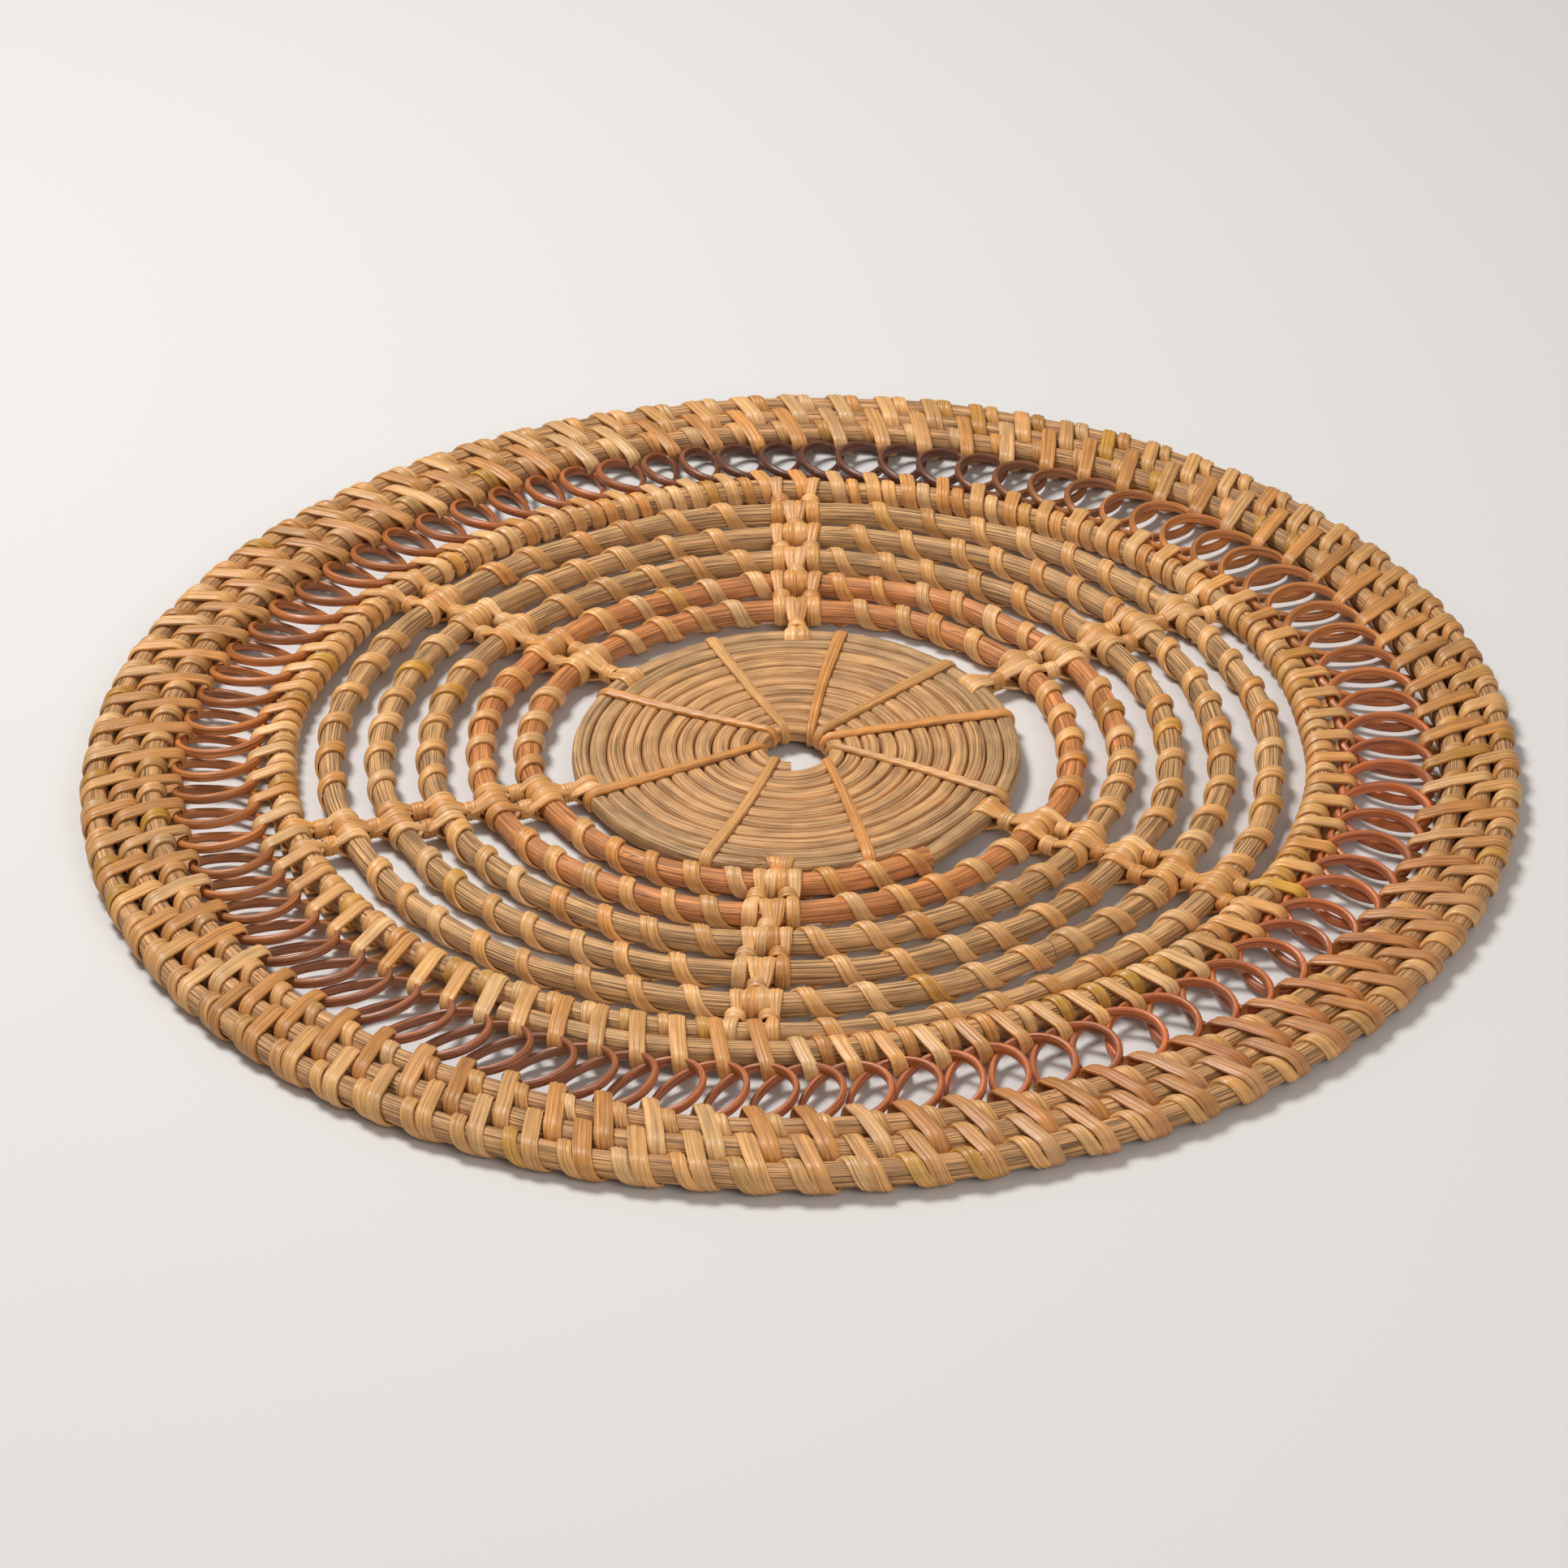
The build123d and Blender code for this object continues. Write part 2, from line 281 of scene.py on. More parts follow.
def spiral_rail():
    """The spiral, whose last part closes in on the turn before it."""
    spans = half_turns(spiral_start_radius, rod_pitch, spiral_half_turns + 1)
    spans[-1] = (last_plain_sweep, spans[-1][1])
    start = np.array(spiral_centre) + unit(spiral_start_angle) * spiral_start_radius
    angle, point, centres = spiral_start_angle, start, []
    for sweep, radius in spans:
        centres.append(point - unit(angle) * radius)
        angle -= sweep
        point = centres[-1] + unit(angle) * radius
    pressed = spans[-2][1] + pressed_spacing
    first = unit(angle)
    second = unit(angle - closing_sweeps[0])
    third = unit(angle - sum(closing_sweeps))
    goal = centres[-2] - centres[-1] - first * spans[-1][1] + third * pressed
    radii = np.linalg.solve(np.column_stack([second - first, third - second]), goal)
    spans += list(zip(closing_sweeps, radii)) + [(pressed_sweep, pressed)]
    return clockwise_rail(start, math.radians(spiral_start_angle), spans, size=(0.35, 0.2), counts=(20, 90))


def coil_rail():
    """The centre coil, whose last turn leaves the others in a short tail."""
    spans = half_turns(core_hole_radius + core_radius, core_pitch, int(core_turns * 2) + 1)
    spans[-1] = ((core_turns * 2 % 1) * 180, spans[-1][1])
    spans.append((core_tail_sweep, core_tail_radius))
    angle = core_end_angle + core_turns * 360
    start = np.array(core_centre) + unit(angle) * (core_hole_radius + core_radius)
    return clockwise_rail(start, math.radians(angle), spans, size=(0.05, 0.14), counts=(30, 120))


# Mesh parts: points, faces, grain (across, through, along the fibres) and colour


def grid_faces(rows, columns, closed=False):
    """Faces of a tube of rows that each go round, capped at both ends unless it is closed."""
    first = np.arange(rows if closed else rows - 1)[:, None] * columns
    above = (first + columns) % (rows * columns)
    here = np.arange(columns)[None, :]
    beside = (here + 1) % columns
    quads = np.stack([first + here, first + beside, above + beside, above + here], axis=-1)
    faces = quads.reshape(-1, 4).tolist()
    if not closed:
        faces.append(list(range(columns))[::-1])
        faces.append(list(range((rows - 1) * columns, rows * columns)))
    return faces


def squared(wave, power):
    """A sine or cosine whose power below 1 makes a round section squarer."""
    return np.sign(wave) * np.abs(wave) ** power


def tube(rail, start, end, radius, step, around, colour, closed=False, square=1.0):
    """A rod or strand along part of a rail: square below 1 flattens its four sides."""
    rows = int((end - start) / step)
    along = np.linspace(start, end, rows, endpoint=not closed)
    turn = np.linspace(0, full, around, endpoint=False)
    run = (along - start) / (end - start)
    girth = 1 + wander(run, 0.012, (10, 60), chance)
    section = 1 + 0.012 * np.sin(5 * turn + 3) + 0.01 * np.sin(9 * turn)
    thick = radius * girth[:, None] * section[None, :]
    across = thick * squared(np.cos(turn), square)
    up = thick * squared(np.sin(turn), square)
    points = rail.points(along[:, None], across, up)
    grain = np.stack(np.broadcast_arrays(across, up + 40 * radius, along[:, None]), axis=-1)
    colours = np.broadcast_to(np.asarray(colour(run))[:, None, :], points.shape)
    faces = grid_faces(rows, around, closed)
    return points.reshape(-1, 3), faces, grain.reshape(-1, 3), colours.reshape(-1, 3)


# A strip's section: places across it, in half widths, and the rise at each, in thicknesses
strip_columns = np.linspace(1, -1, 15)
crown = 0.42 + 0.58 * np.sqrt(1 - 0.96 * strip_columns**2)
strip_underside = [-0.98, 0.98]
underside_height = -0.05


def ribbons(points, normals, width, colours, thickness=strip_thickness, ridge=0.11):
    """Crowned, ridged strips along rows of points: widths and colours go by strip."""
    count, rows, _ = points.shape
    ways = np.gradient(points, axis=1)
    sides = np.cross(normals, ways)
    sides /= np.linalg.norm(sides, axis=-1, keepdims=True)
    half = np.broadcast_to(width, (count, rows))[:, :, None] / 2
    phase = chance.uniform(0, full, (count, 1, 1))
    waves = chance.uniform(7, 13, (count, 1, 1))
    ridges = ridge * np.cos(waves * strip_columns + phase) * (1 - strip_columns**2)
    raised = np.broadcast_to(thickness * crown + ridges, (count, rows, len(strip_columns)))
    flat = np.full((count, rows, len(strip_underside)), underside_height)
    height = np.concatenate([raised, flat], axis=2)
    across = half * np.append(strip_columns, strip_underside)
    sideways = sides[:, :, None] * across[..., None]
    upwards = normals[:, :, None] * height[..., None]
    mesh = points[:, :, None] + sideways + upwards
    travelled = np.cumsum(np.linalg.norm(ways, axis=-1), axis=1)[:, :, None]
    along = travelled + chance.uniform(0, 900, (count, 1, 1))
    through = chance.uniform(0, 200, (count, 1, 1))
    grain = np.stack(np.broadcast_arrays(across, through, along), axis=-1)
    colours = np.broadcast_to(colours[:, None, None, :], mesh.shape)
    per_strip = mesh.shape[1] * mesh.shape[2]
    one = grid_faces(rows, mesh.shape[2])
    faces = [[corner + k * per_strip for corner in face] for k in range(count) for face in one]
    return mesh.reshape(-1, 3), faces, grain.reshape(-1, 3), colours.reshape(-1, 3)


def join(parts):
    """Several mesh parts as one."""
    faces, start = [], 0
    for points, part_faces, _, _ in parts:
        faces += [[corner + start for corner in face] for face in part_faces]
        start += len(points)
    points, grain, colours = (np.concatenate([part[k] for part in parts]) for k in (0, 2, 3))
    return points, faces, grain, colours


def uneven(points):
    """The tray as it was made by hand: its middle rings are a little wider left and right."""
    angle = np.arctan2(points[:, 1], points[:, 0])
    distance = np.hypot(points[:, 0], points[:, 1])
    shape = -0.15 + 0.7 * np.cos(angle) + 1.2 * np.sin(angle) + 1.45 * np.cos(2 * angle)
    share = np.interp(distance, [130, loop_ring, inner_ring, middle_ring, outer_ring], [0, 0.7, 1, 0.65, 0])
    moved = points.copy()
    moved[:, :2] *= (1 + shape * share / np.maximum(distance, 1))[:, None]
    return moved


def make_piece(name, nodes, material, parts):
    """One visible piece from mesh parts, which stands for the CAD nodes."""
    points, faces, grain, colours = join(parts)
    mesh = bpy.data.meshes.new(name)
    mesh.from_pydata((uneven(points) / metre).tolist(), [], faces)
    mesh.attributes.new("grain", "FLOAT_VECTOR", "POINT").data.foreach_set("vector", grain.ravel())
    shades = np.column_stack([colours, np.ones(len(colours))])
    mesh.attributes.new("shade", "FLOAT_COLOR", "POINT").data.foreach_set("color", shades.ravel())
    mesh.shade_smooth()
    mesh.set_sharp_from_angle(angle=math.radians(50))
    mesh.materials.append(material)
    piece = bpy.data.objects.new(name, mesh)
    bpy.context.scene.collection.objects.link(piece)
    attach(piece, "root")
    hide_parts(*nodes)


# Profiles: strips' centre lines in the plane across a rod, as (across, up, outward, upward)


def loop_profile(circles, rows=40, tuck=0.03):
    """A turn round circles in a row, given as (distance across, radius), that starts underneath.

    It goes up the inner side, over the top and down the outer side.
    """
    arcs = []
    angle = math.pi
    for (distance, radius), following in zip(circles, circles[1:] + [None]):
        last = 0
        if following:
            last = math.pi / 2 - math.asin((radius - following[1]) / (following[0] - distance))
        turn = np.linspace(angle, last, 24)
        outward, upward = np.cos(turn), np.sin(turn)
        arcs.append((distance + radius * outward, radius * upward, outward, upward))
        angle = last
    top = np.concatenate(arcs, axis=1)
    bottom = top[:, ::-1] * np.array([1, -1, 1, -1])[:, None]
    whole = np.concatenate([bottom, top[:, 1:]], axis=1)
    lengths = np.append(0, np.cumsum(np.hypot(*np.diff(whole[:2], axis=1))))
    wanted = (np.linspace(0.25 - tuck, 1.25 + tuck, rows) % 1) * lengths[-1]
    profile = np.stack([np.interp(wanted, lengths, values) for values in whole])
    profile[2:] /= np.hypot(*profile[2:])
    return profile, lengths[-1]


def drop_profile(radius, waist, rows=30):
    """A turn round a circle from a waist beside it and back, first underneath and then over the top."""
    leave = math.acos(radius / waist)
    turn = np.linspace(-leave, -full + leave, 40)
    ring = np.array([radius * np.cos(turn), radius * np.sin(turn), np.cos(turn), np.sin(turn)])
    start = np.array([[waist], [-0.2], [math.cos(leave)], [-math.sin(leave)]])
    end = start * np.array([[1], [-1], [1], [-1]])
    whole = np.concatenate([start, ring, end], axis=1)
    lengths = np.append(0, np.cumsum(np.hypot(*np.diff(whole[:2], axis=1))))
    wanted = np.linspace(0, lengths[-1], rows)
    return np.stack([np.interp(wanted, lengths, values) for values in whole])


def wound(rail, along, profiles, advance, slant, forward=1):
    """Centre lines and outward directions of strips that wind round a rail and move on below it."""
    lines = []
    normals = []
    for place, (profile, around), step in zip(along, profiles, np.broadcast_to(advance, len(along))):
        fraction = np.linspace(-0.03, 1.03, profile.shape[1]) - 0.5
        steady = np.clip(slant * around / step, 0.2, 1.8)
        shift = step * (fraction - (1 - steady) * np.sin(full * fraction) / full)
        where = place + forward * shift
        lines.append(rail.points(where, profile[0], profile[1]))
        normals.append(rail.directions(where, profile[2], profile[3]))
    return np.array(lines), np.array(normals)


# Colours


def paint(red, green, blue):
    """A linear colour from its usual 0 to 255 values."""
    return np.array([(value / 255) ** 2.2 for value in (red, green, blue)])


straw = paint(216, 158, 94)
honey = paint(206, 140, 74)
cream = paint(224, 174, 116)
olive = paint(196, 142, 54)
brown = paint(178, 106, 58)
rust = paint(190, 102, 50)
chestnut = paint(162, 96, 60)
walnut = paint(104, 60, 42)
loop_colours = (
    (0, rust), (20, paint(200, 122, 60)), (50, paint(200, 124, 62)), (75, walnut), (95, walnut),
    (112, paint(166, 94, 50)), (180, paint(196, 118, 58)), (205, paint(186, 114, 62)), (225, chestnut),
    (245, chestnut), (265, paint(192, 108, 60)), (310, rust), (340, rust),
)


def mixed(choices, weights, count, spread=0.07):
    """Colours picked for a number of strips, with a little difference in lightness."""
    picked = chance.choice(len(choices), size=count, p=np.array(weights) / sum(weights))
    near = chance.choice(len(choices), size=count, p=np.array(weights) / sum(weights))
    blend = chance.uniform(0, 0.5, (count, 1))
    colours = np.array(choices)[picked] * (1 - blend) + np.array(choices)[near] * blend
    return colours * (1 + chance.normal(0, spread, (count, 1)))


def by_angle(angles, stops):
    """Colours around the tray from (angle in degrees, colour) stops."""
    angles = np.degrees(angles) % 360
    places = [place for place, _ in stops] + [stops[0][0] + 360]
    values = np.array([colour for _, colour in stops] + [stops[0][1]])
    wrapped = (angles - places[0]) % 360 + places[0]
    return np.column_stack([np.interp(wrapped, places, channel) for channel in values.T])


def plain(colour):
    """A rod of one colour, for tube."""
    return lambda run: np.broadcast_to(colour, (len(run), 3))


# Materials


def rattan(name, line_colour, rough, streak, lines, line_edge, bump, mottle=0.12, coat=0.0):
    """Fibrous rattan, whose colour comes from the shade attribute and whose fibres follow the grain.

    streak is the strength of fine streaks, lines that of the dark fibres, and mottle that of blotches.
    A higher line_edge leaves fewer dark fibres.
    """
    material = bpy.data.materials.new(name)
    material.use_nodes = True
    nodes, links = material.node_tree.nodes, material.node_tree.links
    shader = nodes["Principled BSDF"]

    def add(kind, **inputs):
        node = nodes.new(kind)
        for key, value in inputs.items():
            socket = node.inputs[int(key[1:])]
            if isinstance(value, bpy.types.NodeSocket):
                links.new(value, socket)
            else:
                socket.default_value = value
        return node

    def maths(operation, first, second):
        node = add("ShaderNodeMath", _0=first, _1=second)
        node.operation = operation
        return node.outputs[0]

    def spread(noise, to_low, to_high, low=0.3, high=0.7):
        node = add("ShaderNodeMapRange", _0=noise, _1=low, _2=high, _3=to_low, _4=to_high)
        return node.outputs[0]

    def fibres(scale_across, scale_along, detail):
        stretched = add("ShaderNodeVectorMath", _0=grain, _1=(scale_across, scale_across, scale_along))
        stretched.operation = "MULTIPLY"
        noise = nodes.new("ShaderNodeTexNoise")
        links.new(stretched.outputs[0], noise.inputs["Vector"])
        noise.inputs["Scale"].default_value = 1.0
        noise.inputs["Detail"].default_value = detail
        return noise.outputs["Fac"]

    grain = nodes.new("ShaderNodeAttribute")
    grain.attribute_name = "grain"
    grain = grain.outputs["Vector"]
    shade = nodes.new("ShaderNodeAttribute")
    shade.attribute_name = "shade"
    fine = fibres(4.0, 0.06, 3.0)
    coarse = fibres(1.5, 0.03, 2.0)
    blotch = fibres(0.30, 0.14, 2.0)
    dark = fibres(3.2, 0.035, 4.0)
    level = spread(fine, 1 - streak, 1 + streak)
    level = maths("MULTIPLY", level, spread(blotch, 1 - mottle, 1 + mottle))
    level = maths("MULTIPLY", level, spread(coarse, 1 - streak / 2, 1 + streak / 2))
    lit = nodes.new("ShaderNodeVectorMath")
    lit.operation = "SCALE"
    links.new(shade.outputs["Color"], lit.inputs[0])
    links.new(level, lit.inputs["Scale"])
    mask = spread(dark, 0, lines, line_edge - 0.06, line_edge + 0.06)
    blend = nodes.new("ShaderNodeMix")
    blend.data_type = "RGBA"
    links.new(mask, blend.inputs["Factor"])
    links.new(lit.outputs[0], blend.inputs["A"])
    blend.inputs["B"].default_value = (*line_colour, 1)
    links.new(blend.outputs["Result"], shader.inputs["Base Color"])
    links.new(spread(coarse, rough - 0.08, rough + 0.12), shader.inputs["Roughness"])
    height = maths("SUBTRACT", maths("ADD", fine, coarse), mask)
    raised = nodes.new("ShaderNodeBump")
    raised.inputs["Strength"].default_value = bump
    raised.inputs["Distance"].default_value = 0.0002
    links.new(height, raised.inputs["Height"])
    links.new(raised.outputs["Normal"], shader.inputs["Normal"])
    shader.inputs["Coat Weight"].default_value = coat
    shader.inputs["Coat Roughness"].default_value = 0.3
    return material


dark_fibre = paint(84, 60, 38)
strip_finish = rattan(
    "binding_strip", paint(140, 84, 42),
    rough=0.42, streak=0.24, lines=0.5, line_edge=0.63, bump=0.7, coat=0.12,
)
whipping_finish = rattan(
    "whipping_strip", paint(146, 88, 42),
    rough=0.4, streak=0.26, lines=0.5, line_edge=0.63, bump=0.7, coat=0.15,
)
border_finish = rattan(
    "border_strip", paint(130, 80, 42),
    rough=0.42, streak=0.28, lines=0.55, line_edge=0.62, bump=0.7, coat=0.12,
)
tan_finish = rattan(
    "rod_tan", dark_fibre,
    rough=0.55, streak=0.32, lines=0.8, line_edge=0.57, bump=0.9, mottle=0.2,
)
orange_finish = rattan(
    "rod_orange", paint(130, 72, 38),
    rough=0.45, streak=0.32, lines=0.7, line_edge=0.58, bump=0.9, mottle=0.22,
)
border_rod_finish = rattan(
    "rod_border", dark_fibre,
    rough=0.55, streak=0.32, lines=0.8, line_edge=0.57, bump=0.9, mottle=0.2,
)
loop_finish = rattan(
    "loop_rattan", paint(84, 40, 20),
    rough=0.32, streak=0.26, lines=0.7, line_edge=0.6, bump=0.7, coat=0.25,
)
core_finish = rattan(
    "coil_core", paint(104, 76, 48),
    rough=0.55, streak=0.26, lines=0.8, line_edge=0.6, bump=0.8, mottle=0.2,
)


# The object

spiral = spiral_rail()
coil = coil_rail()
loop_line = ring_rail(loop_ring)
rings = {radius: ring_rail(radius, size=(0.2, 0.12)) for radius in (outer_ring, middle_ring, inner_ring)}
station = math.radians(360 / station_count)
pressed_start = np.interp(-spiral.outward[-1] - math.radians(pressed_sweep), -spiral.outward, spiral.lengths)
Neck = namedtuple("Neck", "tie gap shift inner outer spacing")


def after_turns(turns):
    """The lengths of the spiral after numbers of turns from its start."""
    return np.interp(full * np.array(turns) - spiral.outward[0], -spiral.outward, spiral.lengths)


def grey_outwards(run):
    """The coil's colour, which turns grey over a short stretch of its length."""
    pale, grey = paint(200, 148, 96), paint(182, 140, 94)
    turns_grey, stretch = 0.68, 0.06
    share = np.clip((run - turns_grey) / stretch, 0, 1)[:, None]
    return pale * (1 - share) + grey * share


def frayed(rail, along, count, length, radius, colour):
    """Loose fibres that stand off a strand near a place along it."""
    parts = []
    for _ in range(count):
        steps = np.linspace(0, 1, 9)
        lift = radius * 0.9 + chance.uniform(0.2, 1.6) * steps**2
        start = along + chance.uniform(-3, 3)
        aside = chance.uniform(-1.5, 1.5) + chance.uniform(-2.5, 2.5) * steps**2
        line = rail.points(start + length * chance.uniform(0.6, 1.2) * steps, aside, lift)
        normal = np.broadcast_to([0.0, 0.0, 1.0], line.shape)
        width = fibre_width * (1.15 - steps)
        parts.append(ribbons(line[None], normal[None], width, colour[None], fibre_thickness, ridge=0))
    return parts


def outer_rod(angle):
    """The spiral's outermost rod at an angle: its length, its distance, and any rod pressed to it."""
    lengths = spiral.crossings(angle)
    beside = lengths[-2] if lengths[-1] > pressed_start else None
    return lengths[-1], spiral.distance_at(lengths[-1]), beside


def loop_angle(index):
    """The angle of a loop, a little before the lashing strip that holds it."""
    return index * station + math.radians(lashing_offsets["inner_long"]) - math.radians(loop_offset)


def loop_ends(angle):
    """The distances of a loop's inner and outer end, which keep clear of the spiral's rod."""
    _, distance, _ = outer_rod(angle)
    clear_of_rod = distance + rod_radius + 0.4 * strand_radius
    return max(loop_ring - loop_radius, clear_of_rod), loop_ring + loop_radius


def loop_coil():
    """The ring of loops: one strand that coils on and on, one side over the other."""
    turns = np.arange(station_count * loop_steps) / loop_steps
    inner, outer = np.array([loop_ends(loop_angle(turn)) for turn in turns]).T
    wobble = np.repeat(chance.normal(0, 1, (3, station_count)), loop_steps, axis=1)
    smooth = np.ones(loop_steps // 2) / (loop_steps // 2)
    wobble = np.array([np.convolve(np.concatenate([row, row, row]), smooth, "same") for row in wobble])
    wobble = wobble[:, len(turns) : 2 * len(turns)]
    phase = full * turns
    reach = (outer - inner) / 2 * (1 + 0.02 * wobble[0])
    distance = (outer + inner) / 2 - reach * np.cos(phase)
    moved = (phase + loop_top_share * (np.cos(phase) - 1)) / full
    bulge = loop_bulge * (1 + 0.08 * wobble[1]) + loop_top_bulge * np.sin(phase)
    angles = loop_angle(0) + moved * station
    from_lean = (np.degrees(angles) % 360 - loop_lean_angle) / loop_lean_spread
    lean = loop_lean * np.exp(-(from_lean**2)) * (1 - np.cos(phase)) / 2
    along = angles * loop_ring + bulge * np.sin(phase) - lean
    lift = loop_rise * np.sin(phase) * (1 + 0.08 * wobble[2]) + loop_tilt * np.cos(phase)
    centre = loop_line.points(along, distance - loop_ring, lift)
    ways = np.roll(centre, -1, axis=0) - np.roll(centre, 1, axis=0)
    ways /= np.linalg.norm(ways, axis=1, keepdims=True)
    ups = np.array([0.0, 0.0, 1.0]) - ways * ways[:, 2:]
    ups /= np.linalg.norm(ups, axis=1, keepdims=True)
    sides = np.cross(ups, ways)
    turn = np.linspace(0, full, loop_sides, endpoint=False)
    section = strand_radius * (1 + 0.05 * np.cos(3 * turn))
    across = strand_narrowness * section * squared(np.cos(turn), strand_squareness)
    up = strand_tallness * section * squared(np.sin(turn), strand_squareness)
    points = centre[:, None] + sides[:, None] * across[:, None] + ups[:, None] * up[:, None]
    grain_along = np.arange(len(turns)) * full * loop_radius / loop_steps
    grain = np.stack(np.broadcast_arrays(across, up, grain_along[:, None]), axis=-1)
    shade = by_angle(along / loop_ring, loop_colours) * (1 + 0.1 * wobble[0])[:, None]
    # Painted shade: each turn's lower strand, under the upper one, is painted darker than the upper strand,
    # 0.84 against 1.0 of the colour
    shade *= (0.92 + 0.08 * np.sin(phase))[:, None]
    colours = np.broadcast_to(shade[:, None], points.shape)
    faces = grid_faces(len(turns), loop_sides, closed=True)
    return points.reshape(-1, 3), faces, grain.reshape(-1, 3), colours.reshape(-1, 3)


def lashing(ring, circles, offset, width, colours):
    """One strip round and round the border rods, a turn at every station."""
    rail = rings[ring]
    middle = ring + (circles[0][0] + circles[-1][0]) / 2
    jitter = chance.normal(0, 0.22, station_count)
    along = (np.arange(station_count) * station + math.radians(offset)) * ring + jitter * ring / middle
    profiles = [loop_profile(circles)] * station_count
    lines, normals = wound(rail, along, profiles, station * ring, strip_slant)
    widths = width * (1 + chance.normal(0, 0.06, (station_count, 1)))
    return ribbons(lines, normals, widths, colours)


def border_colours(light, dark, yellow):
    """Strip colours by station: browner at the lower right and a little darker left and right."""
    colours = mixed((light, cream, honey, olive), (6, 2, 2, yellow), station_count)
    angles = np.arange(station_count) * station
    colours *= (0.91 - 0.06 * np.cos(angles) ** 2)[:, None]
    brownest = math.radians(310)
    browner = np.clip(np.cos(angles - brownest) - 0.75, 0, 1)[:, None] * 2.4
    return colours * (1 - browner) + dark * browner


def tie_necks():
    """Each neck between two turns: its tie, gap, shift along the rod, lengths on both and their spacing."""
    necks = []
    for tie, degrees in enumerate(tie_angles):
        angle = math.radians(degrees)
        for gap, length in enumerate(spiral.crossings(angle)):
            for shift in (0,) if gap % 2 == 0 else (-tie_spacing, tie_spacing):
                turned = angle + shift / spiral.distance_at(length)
                outer = spiral.crossings(turned)[gap]
                inner = spiral.crossings(turned)[gap - 1] if gap else coil.crossings(turned)[-1]
                rail = spiral if gap else coil
                spacing = spiral.distance_at(outer) - rail.distance_at(inner)
                if spacing > tie_least_gap or not gap:
                    necks.append(Neck(tie, gap, shift, inner, outer, spacing))
    return necks


def strap_parts(neck):
    """The strips of one neck: pairs, or one where there are two necks, round each rod."""
    inner_rail, inner_radius = (spiral, rod_radius) if neck.gap else (coil, core_radius)
    inner_radius += strip_seat
    outer_radius = rod_radius + strip_seat
    waist = neck.spacing * inner_radius / (inner_radius + outer_radius)
    lone = (lone_strap_spread * np.sign(neck.shift),)
    spreads = lone if neck.shift else (strap_spread, -strap_spread)
    parts = []
    for rail, length, radius, reach, side in (
        (inner_rail, neck.inner, inner_radius, waist, 1),
        (spiral, neck.outer, outer_radius, neck.spacing - waist, -1),
    ):
        if radius >= reach * 0.97:
            continue
        profile = drop_profile(radius, reach)
        fraction = np.linspace(0, 1, profile.shape[1])
        open_out = np.sin(math.pi * fraction) ** 0.7
        for spread in spreads:
            where = length - spread * (0.25 + 0.75 * open_out) - strap_lean * (fraction - 0.5)
            line = rail.points(where, side * profile[0], profile[1])
            normal = rail.directions(where, side * profile[2], profile[3])
            if side < 0:
                line, normal = line[::-1], normal[::-1]
            width = strip_width * (0.5 + 0.5 * open_out) * chance.uniform(0.9, 1.05)
            colour = mixed((straw, honey, cream), (5, 3, 2), 1)
            parts.append(ribbons(line[None], normal[None], width, colour))
    return parts


def knot_part(neck):
    """The short wrap that pinches a neck between two rods."""
    inner_radius = rod_radius if neck.gap else core_radius
    room = neck.spacing - rod_radius - inner_radius - knot_clearance
    length = np.clip(room, *knot_lengths)
    steps = np.linspace(0, 1, int(30 * knot_turns))
    turn = full * knot_turns * steps - math.pi / 2
    strip = length / knot_strips
    middle = rod_radius + strip_seat + strip_thickness + room / 2
    across = -middle + (length - strip) * (steps - 0.5)
    along = neck.outer + knot_half_width * np.cos(turn)
    up = knot_half_height * np.sin(turn)
    line = spiral.points(along, across, up)
    outward = np.interp(neck.outer, spiral.lengths, spiral.outward)
    forward = np.array([math.sin(outward), -math.cos(outward), 0])
    sideways = np.cos(turn)[:, None] * forward / knot_half_width
    normal = sideways + np.sin(turn)[:, None] * [0, 0, 1 / knot_half_height]
    normal /= np.linalg.norm(normal, axis=1, keepdims=True)
    colour = mixed((straw, honey, cream), (4, 4, 2), 1)
    return ribbons(line[None], normal[None], strip, colour, knot_thickness)


def whipping(first, last, count, taken):
    """Strips round the spiral between two lengths, clear of the ties."""
    pitch = (last - first) / count
    along = first + (np.arange(count) + 0.5) * pitch + chance.normal(0, 0.05 * pitch, count)
    points = spiral.points(along, 0, 0)
    clear = [np.min(np.linalg.norm(taken - point, axis=1)) > whipping_clearance for point in points]
    along = along[clear]
    profiles = [loop_profile([(0, rod_radius + strip_seat)], 30)] * len(along)
    slants = strip_slant * chance.uniform(0.85, 1.2)
    lines, normals = wound(spiral, along, profiles, pitch, slants, forward=-1)
    widths = strip_width * (1 + chance.normal(0, 0.06, (len(along), 1)))
    colours = mixed((straw, honey, cream, olive), (7, 3, 2, 0.4), len(along))
    return ribbons(lines, normals, widths, colours)


